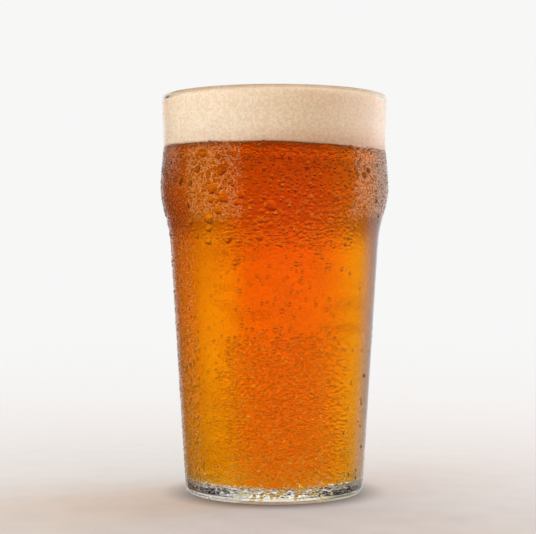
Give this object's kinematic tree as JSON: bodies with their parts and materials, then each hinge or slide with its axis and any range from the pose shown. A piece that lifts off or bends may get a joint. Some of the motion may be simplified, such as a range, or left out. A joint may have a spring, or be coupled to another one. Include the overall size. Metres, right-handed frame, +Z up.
{
  "type": "pint of ale",
  "caption": "Tall clear glass with a bulge under its rim, filled with amber ale under a thick creamy head, beaded with condensation.",
  "frame": {"origin": "centre of the glass's foot, on the surface it stands on", "axes": "+Z up along the axis of the glass, +X to the right and -Y towards the picture's camera"},
  "size_m": [0.0874, 0.0874, 0.152],
  "materials": {
    "glass": "clear, smooth, polished, with cold condensation on the outside",
    "ale": "clear amber-orange liquid",
    "foam": "cream-coloured foam of fine bubbles"
  },
  "bodies": {
    "root": {"glass": "glass", "ale": "ale", "foam": "foam"}
  },
  "joints": []
}
